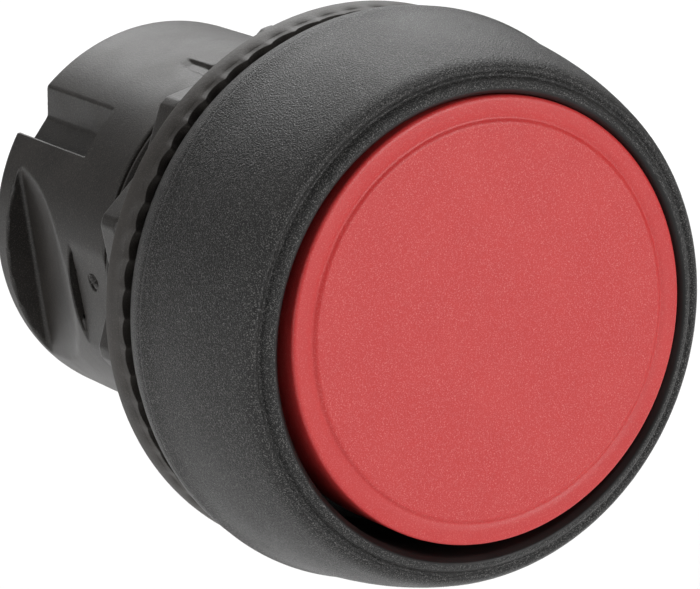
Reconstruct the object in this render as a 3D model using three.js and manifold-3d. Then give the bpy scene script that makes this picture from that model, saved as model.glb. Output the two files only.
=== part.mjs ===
// Panel-mount push-button operator head, 22 mm class: a flush red cap in a domed black bezel,
// a threaded neck through the panel, a mounting nut behind it and a barrel for the contact block.
//
// Millimetres, +Z up (12 o'clock). The button axis is Y: the cap faces -Y and y = 0 is the plane
// where the gasket's rear face meets the panel. Angles are degrees from +Z towards -X.
// The thread is drawn at its pitch line; the mounting nut turns and travels on it, 1 mm a turn.

import * as THREE from 'three';
import { mergeVertices } from 'three/addons/utils/BufferGeometryUtils.js';
import Module from 'manifold-3d';

const wasm = await Module();
wasm.setup();

// ---- Driving dimensions ---------------------------------------------------------------------

// Clearances
const SEAT_GAP = 0.2; // between parts that seat on each other
const LOOSE_GAP = 0.3; // between parts that turn or slide past each other

// Panel interface
const PANEL_HOLE_R = 11.15; // standard 22.3 mm hole
const NECK_PLAY = 0.4; // hole wall to the thread's pitch line
const GASKET_REACH = 3.45; // from the hole's edge to the gasket's rim at the panel
const GASKET_TAPER = 0.4; // the crests of the serrated front edge stand in from the rim
const GASKET_T = 1.7;
const GASKET_RELIEF = 0.3; // recess inside the sealing rib
const SEALING_RIB_W = 2.0;
const SERRATIONS = 60;
const SERRATION_DEPTH = 0.3;
const PANEL_KEY_W = 2.9; // key at 12 o'clock that stops the head turning in its hole
const PANEL_KEY_REACH = 1.55; // how far the key stands past the hole's edge
const PANEL_KEY_END_Y = 0.8;

// Bezel
const BEZEL_DEPTH = 10.7;
const BEZEL_WALL = 1.5; // round the flange, at the widest line
const BEZEL_FRAME = 3.25; // from the widest line in to the mouth
const BEZEL_LIP = 0.3; // from the mouth to the crest of its rounded lip
const BEZEL_TUCK = 0.7; // from the widest line in to the rear edge
const BEZEL_BAND = 2.2; // from the rear face to the widest line
const BEZEL_GAP = 0.4; // gap between the bezel and the gasket

// Barrel
const BARREL_END_Y = 20.5;
const BARREL_INSET = 0.2; // the barrel is this much slimmer than the thread, so the nut passes it
const BARREL_WALL = 2.25;
const NECK_WALL = 1.75;
const THREAD_END_Y = 7.3;
const RELIEF_W = 0.7; // plain groove between the thread and the barrel's shoulder
const RELIEF_DEPTH = 0.55;
const WEB_Y = 4.6; // front face of the web that carries the stem seal
const WEB_T = 2.6;
const FLANGE_REACH = 2.15; // from the hole's edge to the flange's rim
const FLANGE_T = 1.0;
const NOTCH_ANGLE = 52.1;
const NOTCH_W = 2.95;
const NOTCH_DEPTH = 1.15;
const NOTCH_Y = 12.6;
const SCOOP_ANGLE = 101.7; // centre of the ramped scoop
const SCOOP_DEPTH = 1.65;
const SCOOP_Y = 12.07;
const SCOOP_END_Y = 19.4;
const SCOOP_SLOPE = 0.332; // depth gained per millimetre of length
const SCOOP_WALL_TILT = 6; // degrees
const PAD_DEPTH = 0.62;
const SLIT_Y = 11.8;
const SLIT_W = 0.35;
const SLIT_LENGTH = 5.2;
const SLIT_DEPTH = 1.4;
const KEYWAY_ANGLE = 19.5;
const KEYWAY_W = 2.0;
const KEYWAY_DEPTH = 0.75;
const KEYWAY_Y = 0.5;
const KEYWAY_END_Y = 12.4;
const OPPOSITE = [0, 180]; // the barrel's coupling features come in opposite pairs

// Retaining ring, o-ring and mounting hardware
const RETAINER_T = 0.7;
const RETAINER_INSET = 0.15;
const O_RING_INSET = 0.7; // from the flange's rim to the middle of the ring's section
const O_RING_SECTION_R = 0.32;
const WASHER_Y = 1.35;
const WASHER_T = 0.6;
const WASHER_W = 1.15;
const WASHER_KEY_W = 1.5;
const NUT_GAP = 0.1; // washer to nut
const NUT_T = 1.95;
const NUT_WALL = 1.15; // at the waists between its points
const NUT_POINT = 1.3; // how far the points stand out of the waists
const NUT_POINTS = 12;
const NUT_FIRST_CORNER = 13.2;

// Button and plunger
const TRAVEL = 4.0;
const CAP_GAP = 0.45;
const CAP_PROUD = 0.1;
const CAP_FACE_T = 1.4;
const CAP_WALL = 1.2;
const CAP_RIM = 1.2; // smooth rim round the textured centre, past a shallow step
const CAP_STEP = 0.08;
const CAP_EDGE = 0.3;
const HEAD_T = 1.8;
const SNAP_RING_T = 0.6;
const SNAP_RING_W = 1.4;
const STEM_R = 4.5;
const STEM_CLEARANCE = 0.2;
const TAIL_STEP = 0.9; // the stem steps down by this where the pusher sits
const CLIP_GROOVE = 0.6;
const CLIP_T = 0.5;
const CLIP_INSET = 0.7; // from the pusher's rim in to the clip
const SEAL_T = 1.8;
const CLAMP_T = 0.7;
const CLAMP_INSET = 0.7; // from the stem's hole out to the clamp
const SPRING_INSET = 1.4; // from the neck's bore to the middle of the wire
const SPRING_WIRE_R = 0.45;
const SPRING_TURNS = 5;

// Guide sleeve and pusher
const SLEEVE_WALL = 1.1;
const SLEEVE_WEB_Y = 11.8;
const SLEEVE_WEB_T = 1.8;
const BUMPER_T = 0.45;
const BUMPER_INSET = 0.8; // from the sleeve's bore in to the bumper
const PUSHER_HUB_T = 2.0;
const PUSHER_RIM_W = 1.2;
const PUSHER_LENGTH = 4.0;
const PUSHER_LUG_W = 2.0;
const PUSHER_LUG = 0.55; // how far the lugs stand out of the rim

// ---- Levels and radii that follow from them ---------------------------------------------------

const neckR = PANEL_HOLE_R - NECK_PLAY;
const runningBoreR = neckR + LOOSE_GAP;
const frontBoreR = neckR - NECK_WALL;
const reliefR = neckR - RELIEF_DEPTH;
const barrelR = neckR - BARREL_INSET;
const rearBoreR = barrelR - BARREL_WALL;
const keywayFloorR = neckR - KEYWAY_DEPTH;
const shoulderY = THREAD_END_Y + RELIEF_W;
const panelKeyR = PANEL_HOLE_R + PANEL_KEY_REACH;
const gasketR = PANEL_HOLE_R + GASKET_REACH;
const gasketNoseR = gasketR - GASKET_TAPER;
const flangeR = PANEL_HOLE_R + FLANGE_REACH;
const oRingR = flangeR - O_RING_INSET;
const bezelR = flangeR + SEAT_GAP + BEZEL_WALL;
const bezelRearR = bezelR - BEZEL_TUCK;
const bezelMouthR = bezelR - BEZEL_FRAME;
const bezelLipR = bezelMouthR + BEZEL_LIP;
const bezelRearY = -(GASKET_T + BEZEL_GAP);
const bezelFrontY = bezelRearY - BEZEL_DEPTH;
const retainerRearY = bezelRearY - RETAINER_INSET;
const flangeRearY = retainerRearY - RETAINER_T - SEAT_GAP;
const flangeFrontY = flangeRearY - FLANGE_T;
const bezelStepY = flangeFrontY - SEAT_GAP;
const capFaceY = bezelFrontY - CAP_PROUD;
const capR = bezelMouthR - CAP_GAP;
const capDiscR = capR - CAP_RIM;
const skirtRearY = flangeFrontY - TRAVEL - SEAT_GAP;
const capBoreR = capR - CAP_WALL;
const headFrontY = capFaceY + CAP_FACE_T + SEAT_GAP;
const headRearY = headFrontY + HEAD_T;
const snapRingY = headRearY + SEAT_GAP;
const stemHoleR = STEM_R + STEM_CLEARANCE;
const webRearY = WEB_Y + WEB_T;
const sealY = WEB_Y - SEAT_GAP - SEAL_T;
const clampY = sealY - SEAT_GAP - CLAMP_T;
const springR = frontBoreR - SPRING_INSET;
const sleeveR = rearBoreR - SEAT_GAP;
const sleeveBoreR = sleeveR - SLEEVE_WALL;
const sleeveFrontY = webRearY + SEAT_GAP;
const sleeveEndY = BARREL_END_Y - SEAT_GAP / 2;
const sleeveWebRearY = SLEEVE_WEB_Y + SLEEVE_WEB_T;
const bumperY = sleeveWebRearY + SEAT_GAP;
const pusherY = bumperY + BUMPER_T + SEAT_GAP;
const pusherR = sleeveBoreR - LOOSE_GAP;
const pusherRearY = pusherY + PUSHER_LENGTH;
const tailR = STEM_R - TAIL_STEP;
const grooveR = tailR - CLIP_GROOVE;
const rimBoreR = pusherR - PUSHER_RIM_W;
const clipY = pusherY + PUSHER_HUB_T + SEAT_GAP;
const tailEndY = clipY + CLIP_T + 2 * SEAT_GAP;
const scoopFloor = barrelR - SCOOP_DEPTH;
const washerR = runningBoreR + WASHER_W;
const washerRearY = WASHER_Y + WASHER_T;
const nutY = washerRearY + NUT_GAP;
const nutWaistR = runningBoreR + NUT_WALL;
const nutCornerR = nutWaistR + NUT_POINT;

// ---- Materials -------------------------------------------------------------------------------

const finish = (color, roughness, metalness = 0) => () =>
  new THREE.MeshStandardMaterial({ color, roughness, metalness });
const sparkedBlack = finish(0x2b2b2c, 0.62);
const mouldedBlack = finish(0x302c2a, 0.5);
const innerBlack = finish(0x242424, 0.55);
const redPlastic = finish(0xcc3a3c, 0.48);
const blackRubber = finish(0x1c1b1a, 0.85);
const springSteel = finish(0xa8aaad, 0.3, 1);
const naturalPlastic = finish(0xd8d4c6, 0.5);

// ---- Shape helpers ---------------------------------------------------------------------------

const SIDES = 48;
const FINE_SIDES = 60; // for the large faces that show
const FAR = 40; // longer than anything it cuts

const radians = (degrees) => (degrees * Math.PI) / 180;

// A closed geometry as a solid, with its zero-area triangles left out.
function solid(geometry) {
  const bare = geometry.clone();
  for (const name of Object.keys(bare.attributes)) {
    if (name !== 'position') bare.deleteAttribute(name);
  }
  const merged = mergeVertices(bare, 1e-5);
  const corners = merged.index.array;
  const kept = [];
  for (let i = 0; i < corners.length; i += 3) {
    const [a, b, c] = corners.subarray(i, i + 3);
    if (a !== b && b !== c && c !== a) kept.push(a, b, c);
  }
  return new wasm.Manifold(
    new wasm.Mesh({
      numProp: 3,
      vertProperties: new Float32Array(merged.attributes.position.array),
      triVerts: new Uint32Array(kept),
    }),
  );
}

// A named mesh from a solid, in its material.
function piece(name, shape, material) {
  const { vertProperties, triVerts } = shape.getMesh();
  const geometry = new THREE.BufferGeometry();
  geometry.setAttribute('position', new THREE.BufferAttribute(vertProperties, 3));
  geometry.setIndex(new THREE.BufferAttribute(triVerts, 1));
  geometry.computeVertexNormals();
  const mesh = new THREE.Mesh(geometry, material());
  mesh.name = name;
  return mesh;
}

// A turned piece: [radius, y] points of its section, revolved about the button axis.
function turned(section, sides = SIDES) {
  const area = section.reduce((sum, [r, y], i) => {
    const [nextR, nextY] = section[(i + 1) % section.length];
    return sum + r * nextY - nextR * y;
  }, 0);
  const ordered = area > 0 ? section : [...section].reverse();
  const onAxis = ordered.every(([r]) => r > 0) ? [...ordered, ordered[0]] : ordered;
  return solid(new THREE.LatheGeometry(onAxis.map(([r, y]) => new THREE.Vector2(r, y)), sides));
}

// A plain ring or disc with a square section.
const ring = (innerR, outerR, y0, y1, sides = SIDES) =>
  turned([[innerR, y0], [outerR, y0], [outerR, y1], [innerR, y1]], sides);
const disc = (radius, y0, y1, sides = SIDES) =>
  turned([[0, y0], [radius, y0], [radius, y1], [0, y1]], sides);

// An outline of [radius, angle] points, given a thickness along the button axis.
function plate(outline, y0, y1) {
  const shape = new THREE.Shape(
    outline.map(([r, angle]) => {
      return new THREE.Vector2(-r * Math.sin(radians(angle)), -r * Math.cos(radians(angle)));
    }),
  );
  const geometry = new THREE.ExtrudeGeometry(shape, { depth: y1 - y0, bevelEnabled: false });
  geometry.rotateX(-Math.PI / 2);
  geometry.translate(0, y0, 0);
  return solid(geometry);
}

// A block that reaches outwards from radius r0 to r1 at an angle, centred on it.
function block(angle, width, r0, r1, y0, y1) {
  const geometry = new THREE.BoxGeometry(width, y1 - y0, r1 - r0);
  geometry.translate(0, (y0 + y1) / 2, (r0 + r1) / 2);
  geometry.rotateY(-radians(angle));
  return solid(geometry);
}

// ---- Bezel and what closes it ------------------------------------------------------------------

function bezel() {
  const widestY = bezelRearY - BEZEL_BAND;
  const domeFrontR = bezelLipR + 1.25;
  const dome = new THREE.CubicBezierCurve(
    new THREE.Vector2(bezelR - 0.15, widestY - 0.3),
    new THREE.Vector2(bezelR - 0.45, widestY - BEZEL_DEPTH * 0.4),
    new THREE.Vector2(domeFrontR + 0.75, bezelFrontY + BEZEL_DEPTH * 0.17),
    new THREE.Vector2(domeFrontR - 0.15, bezelFrontY + 0.45),
  );
  const body = turned([
    [bezelMouthR, bezelStepY],
    [flangeR + SEAT_GAP, bezelStepY],
    [flangeR + SEAT_GAP, bezelRearY],
    [bezelRearR, bezelRearY],
    [bezelR - 0.1, widestY + 0.5],
    [bezelR, widestY],
    ...dome.getPoints(7).map((point) => [point.x, point.y]),
    [bezelLipR + 0.75, bezelFrontY + 0.12],
    [bezelLipR, bezelFrontY],
    [bezelMouthR, bezelFrontY + 0.3],
  ], FINE_SIDES);
  const grooveHalf = O_RING_SECTION_R + SEAT_GAP / 2;
  const groove = ring(oRingR - grooveHalf, oRingR + grooveHalf, bezelStepY - 2 * grooveHalf, 0, FINE_SIDES);
  const rearOpening = ring(bezelMouthR, flangeR, bezelStepY, 0, FINE_SIDES);
  return body.subtract(groove.subtract(rearOpening));
}

function bezelORing() {
  const centreY = bezelStepY - O_RING_SECTION_R;
  const section = Array.from({ length: 8 }, (_, i) => {
    const turn = radians(i * 45 + 22.5);
    return [oRingR + O_RING_SECTION_R * Math.cos(turn), centreY + O_RING_SECTION_R * Math.sin(turn)];
  });
  return turned(section);
}

const flangeRetainer = () => ring(runningBoreR, flangeR, flangeRearY + SEAT_GAP, retainerRearY);

// ---- Barrel --------------------------------------------------------------------------------------

// A ramp that runs into the barrel from the front and ends in a steep wall near the rear.
function scoop(angle) {
  const outerR = barrelR + 1.5;
  const rampRun = (outerR - scoopFloor) / SCOOP_SLOPE;
  const rampStartY = SCOOP_Y - (outerR - barrelR) / SCOOP_SLOPE;
  const section = new THREE.Shape([
    new THREE.Vector2(outerR, rampStartY),
    new THREE.Vector2(scoopFloor, rampStartY + rampRun),
    new THREE.Vector2(scoopFloor - 0.05, BARREL_END_Y + 5),
    new THREE.Vector2(outerR, BARREL_END_Y + 5),
  ]);
  const ramp = new THREE.ExtrudeGeometry(section, { depth: FAR, bevelEnabled: false });
  ramp.translate(0, 0, -FAR / 2);
  ramp.rotateY(-Math.PI / 2);
  ramp.rotateY(-radians(angle));
  const limit = new THREE.BoxGeometry(FAR, FAR, FAR);
  limit.translate(0, -FAR / 2, 0);
  limit.rotateZ(-radians(SCOOP_WALL_TILT));
  limit.translate(0, SCOOP_END_Y, 0);
  limit.rotateY(-radians(angle));
  return solid(ramp).intersect(solid(limit));
}

function barrel() {
  let body = turned([
    [frontBoreR, flangeFrontY],
    [flangeR, flangeFrontY],
    [flangeR, flangeRearY],
    [neckR, flangeRearY],
    [neckR, THREAD_END_Y],
    [reliefR, THREAD_END_Y + 0.2],
    [reliefR, shoulderY],
    [barrelR, shoulderY],
    [barrelR, BARREL_END_Y],
    [rearBoreR, BARREL_END_Y],
    [rearBoreR, webRearY],
    [stemHoleR, webRearY],
    [stemHoleR, WEB_Y],
    [frontBoreR, WEB_Y],
  ], FINE_SIDES);
  const keyBase = neckR - 0.5;
  body = body.add(block(0, PANEL_KEY_W, keyBase, panelKeyR, retainerRearY + SEAT_GAP, PANEL_KEY_END_Y));
  body = body.subtract(block(KEYWAY_ANGLE, KEYWAY_W, keywayFloorR, FAR, KEYWAY_Y, KEYWAY_END_Y));
  for (const turn of OPPOSITE) {
    const notchAngle = NOTCH_ANGLE + turn;
    const padAngle = SCOOP_ANGLE + turn;
    const padR = barrelR - PAD_DEPTH;
    const slitR = barrelR - SLIT_DEPTH;
    body = body.subtract(block(notchAngle, NOTCH_W, barrelR - NOTCH_DEPTH, FAR, NOTCH_Y, FAR));
    body = body.subtract(scoop(padAngle));
    body = body.subtract(block(padAngle, FAR, padR, FAR, shoulderY, SLIT_Y));
    body = body.subtract(block(padAngle, SLIT_LENGTH, slitR, FAR, SLIT_Y - SLIT_W / 2, SLIT_Y + SLIT_W / 2));
  }
  return body;
}

function guideSleeve() {
  const body = turned([
    [sleeveBoreR, sleeveFrontY],
    [sleeveR, sleeveFrontY],
    [sleeveR, sleeveEndY],
    [sleeveBoreR, sleeveEndY],
    [sleeveBoreR, sleeveWebRearY],
    [stemHoleR, sleeveWebRearY],
    [stemHoleR, SLEEVE_WEB_Y],
    [sleeveBoreR, SLEEVE_WEB_Y],
  ]);
  const trackW = PUSHER_LUG_W + 2 * LOOSE_GAP;
  const trackR = pusherR + PUSHER_LUG + LOOSE_GAP;
  return OPPOSITE.reduce(
    (cut, angle) => cut.subtract(block(angle, trackW, 0, trackR, sleeveWebRearY, FAR)),
    body,
  );
}

// ---- Sealing and mounting --------------------------------------------------------------------------

// Hard rubber ring: its front edge is serrated, its rear face is a broad sealing rib.
function panelGasket() {
  const teeth = Array.from({ length: 2 * SERRATIONS }, (_, i) => [
    gasketNoseR - (i % 2) * SERRATION_DEPTH,
    (i * 180) / SERRATIONS,
  ]);
  const noseRootY = -GASKET_T + SERRATION_DEPTH;
  const nose = plate(teeth, -GASKET_T, noseRootY + 0.1);
  const rear = turned([
    [0, noseRootY],
    [gasketNoseR - SERRATION_DEPTH / 2, noseRootY],
    [gasketR, -GASKET_T / 3],
    [gasketR, 0],
    [gasketR - SEALING_RIB_W, 0],
    [gasketR - SEALING_RIB_W, -GASKET_RELIEF],
    [0, -GASKET_RELIEF],
  ], SERRATIONS);
  const keySlot = block(0, PANEL_KEY_W + 2 * SEAT_GAP, 0, panelKeyR + SEAT_GAP, -FAR, FAR);
  return nose.add(rear).subtract(disc(runningBoreR, -FAR, FAR)).subtract(keySlot);
}

// Flat ring keyed to the neck, so the turning nut doesn't drag on the panel.
function thrustWasher() {
  const flat = ring(runningBoreR, washerR, WASHER_Y, washerRearY);
  const keyInnerR = keywayFloorR + LOOSE_GAP;
  return flat.add(block(KEYWAY_ANGLE, WASHER_KEY_W, keyInnerR, washerR - 0.4, WASHER_Y, washerRearY));
}

function mountingNut() {
  const star = Array.from({ length: 2 * NUT_POINTS }, (_, i) => [
    i % 2 ? nutWaistR : nutCornerR,
    NUT_FIRST_CORNER + (i * 180) / NUT_POINTS,
  ]);
  return plate(star, nutY, nutY + NUT_T).subtract(disc(runningBoreR, -FAR, FAR));
}

// Lip seal on the web: its inner lip wipes the stem, its outer lip fills the bore.
function stemSeal() {
  const innerR = stemHoleR;
  const outerR = frontBoreR - SEAT_GAP;
  const rearY = sealY + SEAL_T;
  const lipW = 0.7;
  const floorT = 0.8;
  return turned([
    [innerR, sealY],
    [innerR + lipW, sealY],
    [innerR + lipW + 0.2, rearY - floorT],
    [outerR - lipW - 0.2, rearY - floorT],
    [outerR - lipW, sealY],
    [outerR, sealY],
    [outerR, rearY],
    [innerR, rearY],
  ]);
}

const sealClamp = () =>
  ring(stemHoleR + CLAMP_INSET, frontBoreR - SEAT_GAP, clampY, clampY + CLAMP_T);

// ---- Button, plunger and spring ----------------------------------------------------------------------

function buttonCap() {
  return turned([
    [0, capFaceY],
    [capDiscR, capFaceY],
    [capDiscR + 0.15, capFaceY + CAP_STEP],
    [capR - CAP_EDGE, capFaceY + CAP_STEP],
    [capR, capFaceY + CAP_STEP + CAP_EDGE],
    [capR, skirtRearY],
    [capBoreR, skirtRearY],
    [capBoreR, capFaceY + CAP_FACE_T],
    [0, capFaceY + CAP_FACE_T],
  ], FINE_SIDES);
}

function plunger() {
  return turned([
    [0, headFrontY],
    [capBoreR - LOOSE_GAP, headFrontY],
    [capBoreR - LOOSE_GAP, headRearY],
    [STEM_R, headRearY],
    [STEM_R, pusherY - SEAT_GAP],
    [tailR, pusherY - SEAT_GAP],
    [tailR, clipY - SEAT_GAP],
    [grooveR, clipY - SEAT_GAP],
    [grooveR, clipY + CLIP_T + SEAT_GAP],
    [tailR, clipY + CLIP_T + SEAT_GAP],
    [tailR, tailEndY],
    [0, tailEndY],
  ]);
}

const capSnapRing = () => {
  const outerR = capBoreR - SEAT_GAP / 2;
  return ring(outerR - SNAP_RING_W, outerR, snapRingY, snapRingY + SNAP_RING_T);
};

const restBumper = () => ring(stemHoleR, sleeveBoreR - BUMPER_INSET, bumperY, bumperY + BUMPER_T);

function pusher() {
  const hubRearY = pusherY + PUSHER_HUB_T;
  const cup = turned([
    [tailR + SEAT_GAP, pusherY],
    [pusherR, pusherY],
    [pusherR, pusherRearY],
    [rimBoreR, pusherRearY],
    [rimBoreR, hubRearY],
    [tailR + SEAT_GAP, hubRearY],
  ]);
  return OPPOSITE.reduce(
    (joined, angle) =>
      joined.add(block(angle, PUSHER_LUG_W, pusherR - 0.5, pusherR + PUSHER_LUG, pusherY, pusherRearY)),
    cup,
  );
}

// Open steel clip that snaps into the groove at the stem's end.
function pusherClip() {
  const innerR = grooveR + SEAT_GAP / 2;
  const flat = ring(innerR, rimBoreR - CLIP_INSET, clipY, clipY + CLIP_T);
  return flat.subtract(block(180, innerR * 1.6, 0, FAR, -FAR, FAR));
}

class Helix extends THREE.Curve {
  constructor(radius, y0, y1, turns) {
    super();
    Object.assign(this, { radius, y0, y1, turns });
  }

  getPoint(t, target = new THREE.Vector3()) {
    const angle = t * this.turns * 2 * Math.PI;
    const y = this.y0 + t * (this.y1 - this.y0);
    return target.set(this.radius * Math.sin(angle), y, this.radius * Math.cos(angle));
  }
}

function returnSpring() {
  const endGap = SPRING_WIRE_R + SEAT_GAP;
  const path = new Helix(springR, headRearY + endGap, clampY - endGap, SPRING_TURNS);
  const wire = new THREE.Shape(
    Array.from({ length: 8 }, (_, i) => {
      const turn = radians(i * 45);
      return new THREE.Vector2(SPRING_WIRE_R * Math.cos(turn), SPRING_WIRE_R * Math.sin(turn));
    }),
  );
  return solid(new THREE.ExtrudeGeometry(wire, { steps: SPRING_TURNS * 14, extrudePath: path }));
}

// ---- The assembly --------------------------------------------------------------------------------------

const operator = new THREE.Group();
operator.add(
  piece('bezel', bezel(), sparkedBlack),
  piece('bezel_o_ring', bezelORing(), blackRubber),
  piece('flange_retainer', flangeRetainer(), mouldedBlack),
  piece('barrel', barrel(), mouldedBlack),
  piece('guide_sleeve', guideSleeve(), innerBlack),
  piece('panel_gasket', panelGasket(), blackRubber),
  piece('thrust_washer', thrustWasher(), springSteel),
  piece('mounting_nut', mountingNut(), mouldedBlack),
  piece('stem_seal', stemSeal(), blackRubber),
  piece('seal_clamp', sealClamp(), springSteel),
  piece('button_cap', buttonCap(), redPlastic),
  piece('plunger', plunger(), naturalPlastic),
  piece('cap_snap_ring', capSnapRing(), innerBlack),
  piece('return_spring', returnSpring(), springSteel),
  piece('rest_bumper', restBumper(), blackRubber),
  piece('pusher', pusher(), innerBlack),
  piece('pusher_clip', pusherClip(), springSteel),
);

export default operator;
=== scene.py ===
import math

import bpy
import numpy as np
from mathutils import Matrix, Vector


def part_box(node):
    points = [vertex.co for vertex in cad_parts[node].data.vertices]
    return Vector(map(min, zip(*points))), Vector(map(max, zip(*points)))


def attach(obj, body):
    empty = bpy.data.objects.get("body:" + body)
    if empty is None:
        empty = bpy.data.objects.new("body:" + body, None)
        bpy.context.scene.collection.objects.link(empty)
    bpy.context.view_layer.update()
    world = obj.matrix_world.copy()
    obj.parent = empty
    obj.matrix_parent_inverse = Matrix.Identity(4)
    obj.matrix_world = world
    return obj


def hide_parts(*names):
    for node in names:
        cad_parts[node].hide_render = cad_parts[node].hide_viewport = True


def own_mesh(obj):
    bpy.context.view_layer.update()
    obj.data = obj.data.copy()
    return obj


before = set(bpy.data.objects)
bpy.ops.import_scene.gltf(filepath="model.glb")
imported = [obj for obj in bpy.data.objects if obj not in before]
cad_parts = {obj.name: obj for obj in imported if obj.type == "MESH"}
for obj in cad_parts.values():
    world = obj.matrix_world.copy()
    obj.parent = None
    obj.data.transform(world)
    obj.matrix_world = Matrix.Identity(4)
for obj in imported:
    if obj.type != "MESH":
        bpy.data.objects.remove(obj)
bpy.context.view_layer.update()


# ---- Barrel --------------------------------------------------------------------------------------
# The body of the head: one black polyamide moulding with a flange, a threaded neck, a relief groove
# and the barrel proper. The cores that slide in from the sides leave its notches, scoops and pads.

MM = 0.001
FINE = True

barrel_low, barrel_high = (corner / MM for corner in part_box("barrel"))
BARREL_END = barrel_high.y
BARREL_R = 10.55
SHOULDER = 7.9
RELIEF_R = 10.2

FLANGE_R = 13.3
FLANGE_FRONT = barrel_low.y
FLANGE_REAR = FLANGE_FRONT + 1.0
PANEL_KEY_HALF = 1.45
PANEL_KEY_ROOT, PANEL_KEY_R = 9.5, 12.7
PANEL_KEY_END = 0.8

NECK_R = 10.75
THREAD_PITCH, THREAD_HEIGHT = 1.0, 0.5
THREAD_START, THREAD_END = 0.6, 7.0
THREAD_FLANK = 1.6  # 1 is a pure zigzag; more flattens its crests and roots
KEYWAY_ANGLE = 19.5
KEYWAY_END = 12.15
KEYWAY_FLARE = 0.7  # how far each of its walls leans out for each millimetre of depth

REAR_BORE, FRONT_BORE, STEM_HOLE = 8.3, 9.0, 4.7
WEB_FRONT, WEB_REAR = 4.6, 7.2
WEB_STEEPNESS = 9  # the bores narrow by this much for each millimetre along, at the web

NOTCH_ANGLE = 52.1
NOTCH_HALF, NOTCH_DEPTH = 1.47, 1.15
NOTCH_FRONT, NOTCH_WALL = 12.6, 7.33
SCOOP_ANGLE = 101.7
SCOOP_FRONT, SCOOP_WALL, SCOOP_TILT = 12.07, 19.4, 0.105
SCOOP_SLOPE, SCOOP_DEPTH = 0.332, 1.65
PAD_DEPTH = 0.40
SLIT_Y, SLIT_HALF, SLIT_LENGTH, SLIT_DEPTH = 11.85, 0.09, 2.7, 1.3
SLIT_TILT = 0.02
DIMPLE_ALONG, DIMPLE_Y, DIMPLE_R, DIMPLE_DEPTH = 1.1, 9.8, 0.48, 0.16
PIPS = ((1.24, 9.98), (0.96, 9.6))  # how far along the tangent, and y
PIP_LEVEL, PIP_R = 9.98, 0.24


def both(a, b, fillet):
    """Distance to what two solids share, with its edge rounded to a fillet."""
    corner = np.hypot(np.maximum(fillet + a, 0), np.maximum(fillet + b, 0))
    return np.minimum(-fillet, np.maximum(a, b)) + corner


def either(a, b, fillet):
    """Distance to two solids joined, with the inner corner between them filled to a fillet."""
    return -both(-a, -b, fillet)


def between(value, low, high):
    return np.maximum(low - value, value - high)


def radially(x, z, angle):
    """How far out a point is towards an angle, and how far along the tangent there."""
    a = math.radians(angle)
    return z * math.cos(a) - x * math.sin(a), z * math.sin(a) + x * math.cos(a)


def thread_wave(x, y, z):
    """A trapezoid wave along a right-hand helix: 1 on the crests and -1 in the roots."""
    turn = np.arctan2(x, z) / (2 * math.pi)
    zigzag = np.abs((y / THREAD_PITCH - turn) % 1.0 - 0.5) * 4 - 1
    return np.clip(zigzag * THREAD_FLANK, -1, 1)


def turned_body(x, y, z):
    """The flange with its panel key, the threaded neck, the relief groove and the barrel."""
    r = np.hypot(x, z)
    fade_in = np.clip((y - THREAD_START) / 0.6, 0, 1)
    fade_out = np.clip((THREAD_END + 0.2 - y) / 0.5, 0, 1)
    thread = THREAD_HEIGHT / 2 * (fade_in * fade_out) * thread_wave(x, y, z)
    neck = both(r - NECK_R - thread, between(y, FLANGE_FRONT, THREAD_END + 0.3), 0.08)
    flange = both(r - FLANGE_R, between(y, FLANGE_FRONT, FLANGE_REAR), 0.12)
    relief = both(r - RELIEF_R, between(y, 0, SHOULDER + 1), 0.05)
    body = both(r - BARREL_R, between(y, SHOULDER, BARREL_END), 0.13)
    out, along = radially(x, z, 0)
    key_section = np.maximum(np.abs(along) - PANEL_KEY_HALF, PANEL_KEY_ROOT - out)
    key = both(key_section, between(y, FLANGE_REAR, PANEL_KEY_END), 0.1)
    key = both(key, r - PANEL_KEY_R, 0.15)
    return either(either(either(neck, flange, 0.2), either(relief, body, 0.1), 0.05), key, 0.05)


def notch(x, y, z, turn):
    """Open to the rear end; its upper wall stands upright, as its core is drawn out sideways."""
    out, along = radially(x, z, NOTCH_ANGLE + turn)
    sideways = -x * math.cos(math.radians(turn))
    walls = both(-along - NOTCH_HALF, NOTCH_WALL - sideways, 0.05)
    return both(both(walls, BARREL_R - NOTCH_DEPTH - out, 0.1), NOTCH_FRONT - y, 0.1)


def scoop(y, out, along):
    """A ramp down to a flat floor, which ends at a wall just short of the rear end."""
    ramp = (SCOOP_SLOPE * (y - SCOOP_FRONT) + out - BARREL_R) / math.hypot(1, SCOOP_SLOPE)
    ramped = -either(ramp, out - BARREL_R + SCOOP_DEPTH, 0.8)
    return both(ramped, y - SCOOP_WALL + SCOOP_TILT * along, 0.25)


def slit(y, out, along):
    """A lens-shaped cut across the rear edge of the pad."""
    lens = SLIT_HALF * np.clip(1 - (along / SLIT_LENGTH) ** 2, 0, 1)
    cut = both(np.abs(y - SLIT_Y + SLIT_TILT * along) - lens, BARREL_R - SLIT_DEPTH - out, 0.05)
    return np.maximum(cut, np.abs(along) - SLIT_LENGTH)


def dimple(y, out, along):
    """The round mark of an ejector pin in the pad."""
    round_wall = np.hypot(along - DIMPLE_ALONG, y - DIMPLE_Y) - DIMPLE_R
    return both(round_wall, BARREL_R - PAD_DEPTH - DIMPLE_DEPTH - out, 0.05)


def keyway(x, y, z):
    """A slot that narrows and runs out behind the shoulder."""
    out, along = radially(x, z, KEYWAY_ANGLE)
    floor = np.interp(y, [7.5, 10.0, KEYWAY_END - 0.9, KEYWAY_END], [10.0, 10.33, 10.36, 10.6])
    half = np.interp(y, [7.6, 8.9, KEYWAY_END], [1.0, 0.42, 0.26])
    section = both(np.abs(along) - half - KEYWAY_FLARE * (out - 10.4), floor - out, 0.06)
    return both(section, between(y, 0.5, KEYWAY_END), 0.1)


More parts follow.
